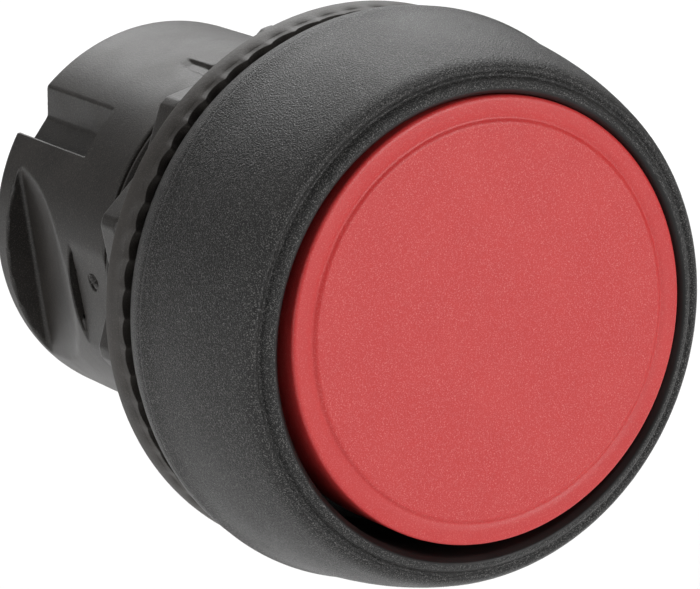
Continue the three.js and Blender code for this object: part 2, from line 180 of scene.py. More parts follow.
def bores(r, y):
    """The bores from both ends, and the stem's hole through the web between them."""
    front_bore = r - FRONT_BORE + np.maximum(y - WEB_FRONT, 0) * WEB_STEEPNESS
    rear_bore = r - REAR_BORE + np.maximum(WEB_REAR - y, 0) * WEB_STEEPNESS
    return np.minimum(np.minimum(front_bore, rear_bore), r - STEM_HOLE)


def barrel_distance(x, y, z):
    solid = turned_body(x, y, z)
    for turn in (0, 180):
        out, along = radially(x, z, SCOOP_ANGLE + turn)
        pad = both(BARREL_R - PAD_DEPTH - out, between(y, SHOULDER - 1, SLIT_Y), 0.12)
        solid = both(solid, -notch(x, y, z, turn), 0.07)
        solid = both(solid, -scoop(y, out, along), 0.09)
        solid = both(solid, -pad, 0.06)
        solid = both(solid, -slit(y, out, along), 0.04)
        solid = both(solid, -dimple(y, out, along), 0.05)
        for pip_along, pip_y in PIPS:
            to_pip = np.sqrt((along - pip_along) ** 2 + (y - pip_y) ** 2 + (out - PIP_LEVEL) ** 2)
            solid = either(solid, to_pip - PIP_R, 0.04)
    solid = both(solid, -keyway(x, y, z), 0.05)
    return both(solid, -bores(np.hypot(x, z), y), 0.12)


def stepped(*stops):
    """Grid lines from (place, spacing) stops: each spacing holds up to the next place."""
    lines = [
        np.linspace(low, high, max(2, round((high - low) / step)), endpoint=False)
        for (low, step), (high, _) in zip(stops, stops[1:])
    ]
    return np.concatenate([*lines, [stops[-1][0]]])


class Field:
    """A shader value. Arithmetic on it adds Math nodes to its material."""

    def __init__(self, tree, socket=None):
        self.tree, self.socket = tree, socket

    def node(self, kind, settings, values, output=0):
        made = self.tree.nodes.new("ShaderNode" + kind)
        for name, value in settings.items():
            setattr(made, name, value)
        for name, value in values.items():
            if isinstance(value, Field):
                self.tree.links.new(value.socket, made.inputs[name])
            else:
                made.inputs[name].default_value = value
        return Field(self.tree, made.outputs[output])

    def maths(self, operation, *values):
        return self.node("Math", {"operation": operation}, dict(enumerate(values)))

    def __add__(self, other):
        return self.maths("ADD", self, other)

    def __radd__(self, other):
        return self.maths("ADD", other, self)

    def __sub__(self, other):
        return self.maths("SUBTRACT", self, other)

    def __rsub__(self, other):
        return self.maths("SUBTRACT", other, self)

    def __mul__(self, other):
        return self.maths("MULTIPLY", self, other)

    def __rmul__(self, other):
        return self.maths("MULTIPLY", other, self)

    def __pow__(self, other):
        return self.maths("POWER", self, other)

    def rising(self, low, high):
        """0 below low and 1 above high, smoothly between."""
        span = {"Value": self, "From Min": low, "From Max": high}
        return self.node("MapRange", {"interpolation_type": "SMOOTHSTEP"}, span)

    def coordinate(self, axis):
        return self.node("SeparateXYZ", {}, {"Vector": self}, axis)

    def noise(self, size, detail=2.0):
        """Noise from 0 to 1 with features of a size in millimetres; self is the place.

        The place is turned first, because along a flat face square to an axis the noise shows bands.
        """
        skewed = self.node("Mapping", {}, {"Vector": self, "Rotation": (0.6, 0.4, 0.9)})
        return self.node("TexNoise", {}, {"Vector": skewed, "Scale": 1 / size, "Detail": detail})

    def pits(self, size):
        """Distance from 0 at the middle of scattered cells of a size in millimetres."""
        return self.node("TexVoronoi", {}, {"Vector": self, "Scale": 1 / size})

    def mixed(self, low, high):
        """A colour between low and high, by a value from 0 to 1."""
        low, high = (c if isinstance(c, Field) else (*c, 1) for c in (low, high))
        return self.node("Mix", {"data_type": "RGBA"}, {0: self, 6: low, 7: high}, 2)


# Sizes in millimetres of the random cloudy tone and of the painted highlight flecks.
CLOUD_SIZE, PAINTED_SPARKLE_SIZE = 3.0, 0.06


def everywhere(place):
    return 1.0


def finish(name, colour, dusty, painted_sparkle_colour, roughness, relief, painted_sparkle_share=everywhere, **constants):
    """A material whose colour varies softly to dusty, and in fine flecks to a lighter sparkle colour.

    The flecks are painted highlights, a lighter base colour standing in for light sparkling off the
    grain. relief(place) is the height of its texture in millimetres, and the function after it gives
    the share of the flecks that shows at each place. The constants are the same all over, and go
    straight to their sockets.
    """
    made = bpy.data.materials.new(name)
    made.use_nodes = True
    tree = made.node_tree
    shader = tree.nodes["Principled BSDF"]
    for socket, value in constants.items():
        shader.inputs[socket.replace("_", " ")].default_value = value
    metres = Field(tree).node("TexCoord", {}, {}, "Object")
    place = metres.node("VectorMath", {"operation": "SCALE"}, {0: metres, "Scale": 1000.0})
    cloud = place.noise(CLOUD_SIZE, 4.0).rising(0.35, 0.75)
    # Painted highlights: fine flecks of a lighter colour stand in for light sparkling off the grain.
    painted_sparkle_mask = place.noise(PAINTED_SPARKLE_SIZE, 1.0).rising(0.48, 0.78) * painted_sparkle_share(place)
    colours = painted_sparkle_mask.mixed(cloud.mixed(colour, dusty), painted_sparkle_colour)
    bump = {"Strength": 1.0, "Distance": MM, "Height": relief(place)}
    tree.links.new(colours.socket, shader.inputs["Base Color"])
    tree.links.new((roughness + cloud * 0.08).socket, shader.inputs["Roughness"])
    tree.links.new(place.node("Bump", {}, bump).socket, shader.inputs["Normal"])
    return made


def make_object(name, points, faces, body, node, slot, material):
    """A mesh object from points in millimetres, riding on a body in place of its CAD node.

    A face that has a corner twice keeps it once.
    """
    mesh = bpy.data.meshes.new(name)
    faces = [list(dict.fromkeys(face)) for face in faces]
    mesh.from_pydata((np.asarray(points) * MM).tolist(), [], faces)
    mesh.shade_smooth()
    mesh.materials.append(material)
    made = bpy.data.objects.new(name, mesh)
    bpy.context.scene.collection.objects.link(made)
    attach(made, body)
    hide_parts(node)
    return made


def netted(distance, radii, sides, heights):
    """The closed surface where distance() is zero, on a grid of rings round the button axis.

    Each cell that the surface passes through gets a point, pulled onto the surface, and each grid
    line that it crosses gets the quad between the four cells round that line.
    """
    angles = np.arange(sides) * 2 * math.pi / sides
    r, a, y = np.meshgrid(radii, angles, heights, indexing="ij")
    value = distance(r * np.sin(a), y, r * np.cos(a)).astype(np.float32)
    shape = np.array(value.shape)
    total, count = np.zeros((value.size, 3)), np.zeros(value.size)
    loops = []
    for axis in range(3):
        ahead = np.roll(value, -1, axis=axis)
        crossed = (value < 0) != (ahead < 0)
        # Only the turn wraps round: radii and heights end at their last line.
        if axis != 1:
            crossed[(slice(None),) * axis + (-1,)] = False
        at = np.argwhere(crossed)
        here, there = value[tuple(at.T)], ahead[tuple(at.T)]
        share = here / (here - there)
        first, second = (axis + 1) % 3, (axis + 2) % 3
        quad = []
        for back_first, back_second in ((1, 1), (0, 1), (0, 0), (1, 0)):
            cell, local = at.copy(), np.zeros(at.shape)
            cell[:, first] -= back_first
            cell[:, second] -= back_second
            local[:, axis], local[:, first], local[:, second] = share, back_first, back_second
            cell %= shape
            flat = np.ravel_multi_index(tuple(cell.T), tuple(shape))
            for i in range(3):
                total[:, i] += np.bincount(flat, local[:, i], value.size)
            count += np.bincount(flat, minlength=value.size)
            quad.append(flat)
        quad = np.array(quad).T
        quad[here > 0] = quad[here > 0][:, ::-1]
        loops.append(quad)
    used = np.flatnonzero(count)
    place = np.array(np.unravel_index(used, tuple(shape))).T + total[used] / count[used][:, None]
    ring = np.interp(place[:, 0], np.arange(len(radii)), radii)
    turn = place[:, 1] * 2 * math.pi / sides
    level = np.interp(place[:, 2], np.arange(len(heights)), heights)
    points = np.array([ring * np.sin(turn), level, ring * np.cos(turn)]).T
    for _ in range(3):
        off, slope = distance(*points.T), gradient(distance, points)
        step = (off / np.maximum((slope**2).sum(1), 0.2))[:, None] * slope
        points -= np.clip(step, -0.06, 0.06)
    index = np.zeros(value.size, int)
    index[used] = np.arange(len(used))
    return points, index[np.concatenate(loops)], gradient(distance, points)


def gradient(distance, points, reach=0.01):
    """How fast distance() grows along x, y and z at each point."""
    slopes = []
    for i in range(3):
        nudge = np.zeros(3)
        nudge[i] = reach
        slopes.append((distance(*(points + nudge).T) - distance(*(points - nudge).T)) / (2 * reach))
    return np.array(slopes).T


barrel_black = finish(
    "barrel_black",
    (0.014, 0.0122, 0.011),
    (0.022, 0.019, 0.017),
    # The colour of the painted highlight flecks, standing in for light sparkling off the surface.
    (0.075, 0.068, 0.06),
    0.40,
    lambda place: place.noise(0.09) * 0.012 + place.noise(1.6) * 0.010,
    Specular_IOR_Level=0.45,
)
# No ring of the grid lies on a surface of the barrel, where the crossings would be in doubt.
grain = 1.5 if FINE else 2.2
close = 0.1 * grain
ring_radii = stepped((4.45, 0.25), (5.0, 0.6), (8.02, close), (11.17, 0.25), (13.0, 0.12), (13.6, 0))
ring_heights = stepped(
    (-4.5, 0.13), (-2.9, 0.3), (0.3, close), (13, 1.2 * close), (20.0, close), (20.8, 0)
)
ring_sides = int(600 / grain)
points, faces, slopes = netted(barrel_distance, ring_radii, ring_sides, ring_heights)
barrel = make_object(
    "barrel_moulding", points, faces.tolist(), "housing", "barrel", "barrel_black", barrel_black
)
# Its normals are the slopes of the distance, so flat faces shade flat and fillets shade round.
lengths = np.linalg.norm(slopes, axis=1)[:, None]
barrel.data.normals_split_custom_set_from_vertices((slopes / np.maximum(lengths, 1e-6)).tolist())


# ---- Bezel, its seal and the ring that closes it -------------------------------------------------
# The bezel is a domed black polyamide ring with a fine spark-eroded texture, a rounded lip and a
# smooth chamfer inside it. It drops over the flange onto an o-ring, and a pressed-in ring behind the
# flange keeps it there.

BEZEL_REAR, BEZEL_SEAT = -2.1, -4.35
MOUTH_R, POCKET_R = 11.75, 13.5
RETAINER_BORE, RETAINER_FRONT, RETAINER_REAR = 11.05, -2.95, -2.25
O_RING_R, O_RING_Y, O_RING_SECTION = 12.6, -4.67, 0.32
O_RING_GROOVE, O_RING_GROOVE_HALF = -5.19, 0.42
TEXTURE_EDGE = 12.02


def rounded(corners):
    """The outline of a section, with each (radius, y, fillet) corner rounded by a short curve."""
    outline = []
    for i, (r, y, fillet) in enumerate(corners):
        here = np.array([r, y])
        if not fillet:
            outline.append(here)
            continue
        back = np.array(corners[i - 1][:2]) - here
        on = np.array(corners[(i + 1) % len(corners)][:2]) - here
        start = here + back * min(fillet / np.linalg.norm(back), 0.48)
        end = here + on * min(fillet / np.linalg.norm(on), 0.48)
        for t in np.linspace(0, 1, 6):
            outline.append((1 - t) ** 2 * start + 2 * t * (1 - t) * here + t * t * end)
    return np.array(outline)


def outward(points, faces):
    """The faces, all turned over if they enclose a negative volume, so that they face outwards."""
    triangles = [
        (points[face[0]], points[face[i]], points[face[i + 1]])
        for face in faces
        for i in (1, len(face) - 2)
    ]
    a, b, c = np.array(triangles).transpose(1, 0, 2)
    inwards = (a * np.cross(b, c)).sum() < 0
    return [face[::-1] for face in faces] if inwards else faces


def turned(corners, sides, shape=None):
    """Points and faces of a section turned round the button axis.

    shape(r, y, turn) gives the points their final radius and height.
    """
    outline = rounded(corners)
    turn = np.arange(sides) * 2 * math.pi / sides
    r = np.repeat(outline[:, :1], sides, axis=1)
    y = np.repeat(outline[:, 1:], sides, axis=1)
    if shape:
        r, y = shape(r, y, turn)
    points = np.stack([-r * np.sin(turn), y, r * np.cos(turn)], -1).reshape(-1, 3)
    row, side = np.meshgrid(np.arange(len(outline)), np.arange(sides), indexing="ij")
    next_row, next_side = (row + 1) % len(outline), (side + 1) % sides
    corner_rows = [(row, side), (next_row, side), (next_row, next_side), (row, next_side)]
    # A row on the axis is one point, and no faces run along the axis between two such rows.
    on_axis = (r == 0).all(axis=1)
    faces = np.stack([i * sides + np.where(on_axis[i], 0, j) for i, j in corner_rows], -1).reshape(-1, 4)
    if on_axis[0]:
        faces = faces[:-sides]
    used, compact = np.unique(faces, return_inverse=True)
    points = points[used]
    return points, outward(points, compact.reshape(faces.shape).tolist())


def flats_kept(made):
    """Keeps flat faces flat under smooth shading, so that only the rounded edges catch light."""
    made.modifiers.new("weighted", "WEIGHTED_NORMAL")
    return made


def square_ring(inner, outer, front, rear, fillet=0.1):
    """The section of a plain ring, for turned()."""
    return [(inner, front, fillet), (outer, front, fillet), (outer, rear, fillet), (inner, rear, fillet)]


inner_black = finish(
    "inner_black",
    (0.030, 0.030, 0.030),
    (0.042, 0.041, 0.040),
    # The colour of the painted highlight flecks, standing in for light sparkling off the surface.
    (0.060, 0.058, 0.055),
    0.42,
    lambda place: place.noise(0.4) * 0.006,
)
flats_kept(make_object(
    "flange_ring",
    *turned(square_ring(RETAINER_BORE, FLANGE_R, RETAINER_FRONT, RETAINER_REAR, 0.12), 240),
    "housing", "flange_retainer", "inner_black", inner_black,
))

seal_rubber = finish(
    "seal_rubber",
    (0.018, 0.018, 0.018),
    (0.032, 0.031, 0.030),
    # The colour of the painted highlight flecks, standing in for light sparkling off the surface.
    (0.050, 0.048, 0.046),
    0.66,
    lambda place: place.noise(0.15) * 0.006,
)
o_ring_section = [
    (O_RING_R + O_RING_SECTION * math.cos(t), O_RING_Y + O_RING_SECTION * math.sin(t), 0)
    for t in np.arange(16) * math.pi / 8
]
make_object(
    "face_seal", *turned(o_ring_section, 240), "housing", "bezel_o_ring", "seal_rubber", seal_rubber
)


def textured(place):
    """1 on the dome and the lip, and 0 on the smooth chamfer inside it, for the texture and its painted
    sparkle.
    """
    x, z = place.coordinate("X"), place.coordinate("Z")
    return ((x * x + z * z) ** 0.5).rising(TEXTURE_EDGE, TEXTURE_EDGE + 0.14)


def spark_eroded(place):
    return (place.noise(0.07, 2.0) * 0.045 + place.pits(0.1) * 0.02) * textured(place)


bezel_black = finish(
    "bezel_black",
    (0.0092, 0.0090, 0.0088),
    (0.0150, 0.0145, 0.0140),
    # The colour of the painted highlight flecks, which stand in for light sparkling off the texture.
    (0.17, 0.165, 0.16),
    0.40,
    spark_eroded,
    textured,
    Specular_IOR_Level=0.34,
)
bezel_section = [
    (MOUTH_R, BEZEL_SEAT, 0.1),
    (MOUTH_R, -12.42, 0.12),
    (12.03, -12.80, 0.12),
    (12.42, -12.70, 0.25),
    (12.64, -12.18, 0.2),
    (12.95, -12.42, 0.3),
    (13.22, -12.22, 0.25),
    (13.46, -11.8, 0.3),
    (13.78, -10.8, 0.6),
    (14.12, -9.5, 0.8),
    (14.4, -8.0, 0.9),
    (14.6, -6.5, 0.8),
    (14.76, -5.2, 0.5),
    (14.98, -4.35, 0.14),
    (14.84, -4.2, 0.06),
    (14.9, -3.95, 0.1),
    (14.86, -3.4, 0.4),
    (14.3, BEZEL_REAR, 0.25),
    (POCKET_R, BEZEL_REAR, 0.12),
    (POCKET_R, BEZEL_SEAT, 0.1),
    (O_RING_R + O_RING_GROOVE_HALF, BEZEL_SEAT, 0.06),
    (O_RING_R + O_RING_GROOVE_HALF, O_RING_GROOVE, 0.06),
    (O_RING_R - O_RING_GROOVE_HALF, O_RING_GROOVE, 0.06),
    (O_RING_R - O_RING_GROOVE_HALF, BEZEL_SEAT, 0.06),
]
flats_kept(make_object(
    "bezel_dome", *turned(bezel_section, 480 if FINE else 240),
    "housing", "bezel", "bezel_black", bezel_black,
))


# ---- Guide sleeve --------------------------------------------------------------------------------
# An acetal sleeve pressed into the barrel's rear bore. Its web stops the plunger at rest, and two
# tracks along its bore keep the pusher from turning.

SLEEVE_R, SLEEVE_BORE = 8.1, 7.0
SLEEVE_FRONT, SLEEVE_END = 7.4, 20.4
SLEEVE_WEB_FRONT, SLEEVE_WEB_REAR = 11.8, 13.6
TRACK_R, TRACK_HALF = 7.55, 1.3


def near_lug(r, turn, half):
    """1 within half a width of the two opposite places for a lug, and 0 beyond."""
    return np.clip((half - np.abs(r * np.sin(turn))) / 0.12 + 0.5, 0, 1)


def tracks(r, y, turn):
    in_bore = (y > SLEEVE_WEB_REAR - 0.2) & (np.abs(r - SLEEVE_BORE) < 0.3)
    return r + (TRACK_R - SLEEVE_BORE) * near_lug(r, turn, TRACK_HALF) * in_bore, y


sleeve_section = [
    (SLEEVE_BORE, SLEEVE_FRONT, 0.15),
    (SLEEVE_R, SLEEVE_FRONT, 0.2),
    (SLEEVE_R, SLEEVE_END, 0.15),
    (SLEEVE_BORE, SLEEVE_END, 0.15),
    (SLEEVE_BORE, SLEEVE_WEB_REAR, 0.15),
    (STEM_HOLE, SLEEVE_WEB_REAR, 0.12),
    (STEM_HOLE, SLEEVE_WEB_FRONT, 0.12),
    (SLEEVE_BORE, SLEEVE_WEB_FRONT, 0.15),
]
flats_kept(make_object(
    "guide_tube", *turned(sleeve_section, 360, tracks),
    "housing", "guide_sleeve", "inner_black", inner_black,
))


# ---- Stem seal and its clamp ---------------------------------------------------------------------
# A moulded rubber seal with one lip on the stem and one in the bore. It lies on the barrel's web,
# held there by a zinc-plated pressed washer that also seats the spring.

SEAL_R = FRONT_BORE - 0.2
SEAL_FRONT, SEAL_WEB, SEAL_REAR = 2.6, 3.6, 4.4
CLAMP_BORE, CLAMP_FRONT, CLAMP_REAR = 5.4, 1.7, 2.4

spring_steel = finish(
    "spring_steel",
    (0.50, 0.50, 0.51),
    (0.40, 0.40, 0.42),
    # The colour of the painted highlight flecks, standing in for light sparkling off the surface.
    (0.62, 0.62, 0.62),
    0.22,
    lambda place: place.noise(0.3, 4.0) * 0.004,
    Metallic=1.0,
)
seal_section = [
    (STEM_HOLE, SEAL_FRONT, 0.12),
    (5.4, SEAL_FRONT, 0.12),
    (5.6, SEAL_WEB, 0.2),
    (7.9, SEAL_WEB, 0.2),
    (8.1, SEAL_FRONT, 0.12),
    (SEAL_R, SEAL_FRONT, 0.12),
    (SEAL_R, SEAL_REAR, 0.15),
    (STEM_HOLE, SEAL_REAR, 0.15),
]
flats_kept(make_object(
    "lip_seal", *turned(seal_section, 180), "housing", "stem_seal", "seal_rubber", seal_rubber
))
flats_kept(make_object(
    "clamp_washer", *turned(square_ring(CLAMP_BORE, SEAL_R, CLAMP_FRONT, CLAMP_REAR, 0.14), 180),
    "housing", "seal_clamp", "spring_steel", spring_steel,
))


# ---- Plunger -------------------------------------------------------------------------------------
# A natural acetal moulding: a broad head under the cap and a stem through the seal and the sleeve,
# with a stepped tail for the pusher and a groove for its clip.

HEAD_R, HEAD_FRONT, HEAD_REAR = 9.8, -11.3, -9.5
STEM_R, STEM_END = 4.5, 14.25
TAIL_R, TAIL_END = 3.6, 17.55
GROOVE_R, GROOVE_FRONT, GROOVE_REAR = 3.0, 16.45, 17.35

plunger_natural = finish(
    "plunger_natural",
    (0.70, 0.67, 0.60),
    (0.62, 0.59, 0.52),
    # The colour of the painted highlight flecks, standing in for light sparkling off the surface.
    (0.74, 0.71, 0.64),
    0.38,
    lambda place: place.noise(0.5) * 0.006,
    Subsurface_Weight=0.1,
    Subsurface_Scale=0.001,
)
plunger_section = [
    (0, HEAD_FRONT, 0),
    (HEAD_R, HEAD_FRONT, 0.25),
    (HEAD_R, HEAD_REAR, 0.25),
    (STEM_R, HEAD_REAR, 0.3),
    (STEM_R, STEM_END, 0.15),
    (TAIL_R, STEM_END, 0.1),
    (TAIL_R, GROOVE_FRONT, 0.1),
    (GROOVE_R, GROOVE_FRONT, 0.08),
    (GROOVE_R, GROOVE_REAR, 0.08),
    (TAIL_R, GROOVE_REAR, 0.08),
    (TAIL_R, TAIL_END, 0.08),
    (0, TAIL_END, 0),
]
flats_kept(make_object(
    "plunger_moulding", *turned(plunger_section, 180),
    "button", "plunger", "plunger_natural", plunger_natural,
))


# ---- Return spring -------------------------------------------------------------------------------
# A music-wire compression spring with closed ends, between the clamp washer and the plunger's head.

SPRING_R, WIRE_R, SPRING_TURNS = 7.6, 0.45, 6.0
SPRING_FRONT, SPRING_REAR, PRESS_TRAVEL = -8.85, 1.05, 4.0


def swept(path, section):
    """Points and faces of a wire or strip: (out, lift) points carried along a path round the axis."""
    ahead = np.gradient(path, axis=0)
    side = np.cross(ahead, (0, 1, 0))
    side /= np.linalg.norm(side, axis=1)[:, None]
    lift = np.cross(side, ahead)
    lift /= np.linalg.norm(lift, axis=1)[:, None]
    out, up = np.array(section).T
    rings = path[:, None] + side[:, None] * out[:, None] + lift[:, None] * up[:, None]
    count, last = len(section), (len(path) - 1) * len(section)
    faces = [
        [i + j, i + (j + 1) % count, i + count + (j + 1) % count, i + count + j]
        for i in range(0, last, count)
        for j in range(count)
    ]
    ends = [list(range(count))[::-1], list(range(last, last + count))]
    points = rings.reshape(-1, 3)
    return points, outward(points, faces + ends)


turns = np.linspace(0, SPRING_TURNS, 540)
wound = turns * 2 * math.pi
closed_pitch = 2 * WIRE_R + 0.05
rise = np.interp(
    turns,
    [0, 1, SPRING_TURNS - 1, SPRING_TURNS],
    [SPRING_FRONT, SPRING_FRONT + closed_pitch, SPRING_REAR - closed_pitch, SPRING_REAR],
)
coil = np.stack([SPRING_R * np.sin(wound), rise, SPRING_R * np.cos(wound)], -1)
wire = [(WIRE_R * math.cos(t), WIRE_R * math.sin(t)) for t in np.arange(14) * math.pi / 7]
spring = make_object(
    "coil_spring", *swept(coil, wire), "housing", "return_spring", "spring_steel", spring_steel
)
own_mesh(spring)


# ---- Bumper, pusher and clip ---------------------------------------------------------------------
# Behind the sleeve's web a rubber ring softens the return stop. The acetal pusher, which works the
# contact block, slides on the tail of the stem with two lugs in the tracks, and a steel clip holds it.

BUMPER_R, BUMPER_FRONT = 6.2, 13.8
PUSHER_R, PUSHER_BORE, CUP_BORE = 6.7, 3.8, 5.5
PUSHER_FRONT, PUSHER_REAR = 14.45, 18.45
LUG_R, LUG_HALF = 7.25, 1.0
CLIP_R, CLIP_Y, CLIP_OPENING = 3.95, 16.9, 40
CLIP_HALF_WIDTH, CLIP_HALF_THICK = 0.85, 0.25


def lugs(r, y, turn):
    outside = r > PUSHER_R - 0.4
    return r + (LUG_R - PUSHER_R) * near_lug(r, turn, LUG_HALF) * outside, y


flats_kept(make_object(
    "stop_ring", *turned(square_ring(STEM_HOLE, BUMPER_R, BUMPER_FRONT, STEM_END, 0.15), 120),
    "button", "rest_bumper", "seal_rubber", seal_rubber,
))
pusher_section = [
    (PUSHER_BORE, PUSHER_FRONT, 0.1),
    (PUSHER_R, PUSHER_FRONT, 0.15),
    (PUSHER_R, PUSHER_REAR, 0.2),
    (CUP_BORE, PUSHER_REAR, 0.2),
    (CUP_BORE, GROOVE_FRONT, 0.15),
    (PUSHER_BORE, GROOVE_FRONT, 0.1),
]
flats_kept(make_object(
    "pusher_cup", *turned(pusher_section, 360, lugs), "button", "pusher", "inner_black", inner_black
))
clip_turn = np.radians(np.linspace(180 + CLIP_OPENING, 540 - CLIP_OPENING, 90))
clip_level = np.full_like(clip_turn, CLIP_Y)
clip_path = np.stack([CLIP_R * np.sin(clip_turn), clip_level, CLIP_R * np.cos(clip_turn)], -1)
strip = rounded([
    (-CLIP_HALF_WIDTH, -CLIP_HALF_THICK, 0.06),
    (CLIP_HALF_WIDTH, -CLIP_HALF_THICK, 0.06),
    (CLIP_HALF_WIDTH, CLIP_HALF_THICK, 0.06),
    (-CLIP_HALF_WIDTH, CLIP_HALF_THICK, 0.06),
])
flats_kept(make_object(
    "stem_clip", *swept(clip_path, strip), "button", "pusher_clip", "spring_steel", spring_steel
))


# ---- Cap -----------------------------------------------------------------------------------------
# The red cap is one ABS moulding: a finely textured disc inside a shallow step, a smooth rim with a
# rounded edge, and a skirt. It snaps over a sprung ring on the plunger and sits slightly off centre.

CAP_R, CAP_BORE, CAP_DISC_R = 11.36, 10.42, 10.12
CAP_FACE, CAP_RIM, CAP_INSIDE, CAP_SKIRT_REAR = -12.98, -12.88, -11.55, -8.6
CAP_OFFSET, CAP_TILT = np.array([0.22, 0.0, 0.22]), math.radians(1.3)
SNAP_RING_BORE, SNAP_RING_R = 8.6, 9.95
SNAP_RING_FRONT, SNAP_RING_REAR = -9.3, -8.7

flats_kept(make_object(
    "snap_ring",
    *turned(square_ring(SNAP_RING_BORE, SNAP_RING_R, SNAP_RING_FRONT, SNAP_RING_REAR, 0.12), 180),
    "button", "cap_snap_ring", "inner_black", inner_black,
))


def on_disc(place):
    """1 on the textured disc, less on the smoother rim and the skirt, for the texture and its painted
    sparkle.
    """
    x, z = place.coordinate("X") - CAP_OFFSET[0], place.coordinate("Z") - CAP_OFFSET[2]
    return 1 - 0.4 * ((x * x + z * z) ** 0.5).rising(CAP_DISC_R - 0.12, CAP_DISC_R + 0.1)


def cap_texture(place):
    return place.noise(0.08, 3.0) * 0.03 * on_disc(place) + place.noise(1.2) * 0.012


cap_red = finish(
    "cap_red",
    (0.56, 0.028, 0.029),
    (0.58, 0.036, 0.035),
    # The colour of the painted highlight flecks, which stand in for light sparkling off the disc.
    (0.68, 0.15, 0.14),
    0.36,
    cap_texture,
    on_disc,
    Subsurface_Weight=0.15,
    Subsurface_Radius=(0.6, 0.1, 0.1),
    Subsurface_Scale=0.001,
)
cap_section = [
    (0, CAP_FACE, 0),
    (CAP_DISC_R - 0.08, CAP_FACE, 0.12),
    (CAP_DISC_R + 0.12, CAP_RIM + 0.08, 0.1),
    (CAP_DISC_R + 0.42, CAP_RIM, 0.2),
    (CAP_R, CAP_RIM, 0.26),
    (CAP_R, CAP_SKIRT_REAR, 0.15),
    (CAP_BORE, CAP_SKIRT_REAR, 0.15),
    (CAP_BORE, CAP_INSIDE, 0.2),
    (0, CAP_INSIDE, 0),
]
points, faces = turned(cap_section, 480 if FINE else 240)
tilt = np.array([
    [1, 0, 0],
    [0, math.cos(CAP_TILT), math.sin(CAP_TILT)],
    [0, -math.sin(CAP_TILT), math.cos(CAP_TILT)],
])
pivot = np.array([0, CAP_SKIRT_REAR, 0])
points = (points - pivot) @ tilt.T + pivot + CAP_OFFSET
flats_kept(make_object("red_cap", points, faces, "button", "button_cap", "cap_red", cap_red))


# ---- Gasket --------------------------------------------------------------------------------------
# A hard black rubber ring between the bezel and the panel. Its front edge is serrated, its rear edge
# is smooth, and a slot at the top lets the panel key through.

GASKET_R, GASKET_BORE, GASKET_FRONT = 14.6, 11.05, -1.7
GASKET_NOSE, NOSE_INSIDE, NOSE_DEPTH = 14.4, 13.9, -0.9
RIB_INSIDE, RIB_RELIEF = 12.95, -0.3
SERRATIONS, SERRATION_DEPTH, SERRATION_TAPER = 60, 0.36, 0.05
KEY_SLOT_R, KEY_SLOT_HALF = 12.9, 1.65


def serrated(r, y, turn):
    """Sharp teeth with rounded roots along the nose's front, and a slot in the bore at the top."""
    tooth = np.abs(np.sin(turn * SERRATIONS / 2)) ** 0.8
    at_nose = np.clip((r - 13.4) / 0.3, 0, 1) * np.clip((-1.0 - y) / 0.5, 0, 1)
    slot = np.clip((KEY_SLOT_HALF - np.abs(r * np.sin(turn))) / 0.15, 0, 1) * (np.cos(turn) > 0)
    slotted = np.where(r < 11.5, (KEY_SLOT_R - r) * slot, 0)
    return r - SERRATION_TAPER * tooth * at_nose + slotted, y + SERRATION_DEPTH * tooth * at_nose


gasket_rubber = finish(
    "gasket_rubber",
    (0.029, 0.0252, 0.0222),
    (0.040, 0.0350, 0.031),
    # The colour of the painted highlight flecks, standing in for light sparkling off the surface.
    (0.07, 0.062, 0.054),
    0.5,
    lambda place: place.noise(0.2, 3.0) * 0.016,
)
gasket_section = [
    (GASKET_BORE, GASKET_FRONT, 0.1),
    (12.3, GASKET_FRONT, 0.1),
    (12.4, NOSE_DEPTH, 0.1),
    (NOSE_INSIDE, NOSE_DEPTH, 0.1),
    (NOSE_INSIDE + 0.05, GASKET_FRONT, 0.03),
    (GASKET_NOSE, GASKET_FRONT, 0.04),
    (GASKET_NOSE + 0.04, -1.2, 0.1),
    (GASKET_R, -0.45, 0.2),
    (GASKET_R, 0, 0.14),
    (RIB_INSIDE, 0, 0.1),
    (RIB_INSIDE - 0.05, RIB_RELIEF, 0.08),
    (GASKET_BORE, RIB_RELIEF, 0.1),
]
flats_kept(make_object(
    "serrated_gasket", *turned(gasket_section, 720 if FINE else 480, serrated),
    "housing", "panel_gasket", "gasket_rubber", gasket_rubber,
))


# ---- Washer and nut ------------------------------------------------------------------------------
# A zinc-plated flat washer keyed to the groove in the thread, and a twelve-pointed moulded nut that
# clamps the panel. The nut's thread is M22 x 1.

RUNNING_BORE = 11.05
WASHER_R, WASHER_FRONT, WASHER_REAR = 12.2, 1.35, 1.95
WASHER_KEY_HALF, WASHER_KEY_DEPTH = 0.75, 0.75
NUT_POINTS, NUT_TURNED = 12, 13.2
NUT_CORNER, NUT_WAIST, NUT_BLUNTED = 13.5, 12.2, 0.14
NUT_FRONT, NUT_REAR = 2.05, 4.0
NUT_THREAD = 0.12


def keyed(r, y, turn):
    """One key, which reaches in from the bore to the keyway."""
    from_key = turn - math.radians(KEYWAY_ANGLE)
    at_key = np.clip((WASHER_KEY_HALF - np.abs(r * np.sin(from_key))) / 0.12 + 0.5, 0, 1)
    return np.where(r < 11.5, r - WASHER_KEY_DEPTH * at_key * (np.cos(from_key) > 0), r), y


def starred(r, y, turn):
    """Straight sides between blunted corners and waists, and a right-hand thread in the bore."""
    half = math.pi / NUT_POINTS
    past = np.abs((turn - math.radians(NUT_TURNED) + half) % (2 * half) - half)
    side = NUT_CORNER * NUT_WAIST * math.sin(half)
    edge = side / (NUT_CORNER * np.sin(past) + NUT_WAIST * np.sin(half - past))
    edge = np.minimum(edge, NUT_CORNER - NUT_BLUNTED)
    thread = NUT_THREAD - NUT_THREAD * thread_wave(-np.sin(turn), y, np.cos(turn))
    return np.where(r > 12, r - NUT_CORNER + edge, r + thread), y


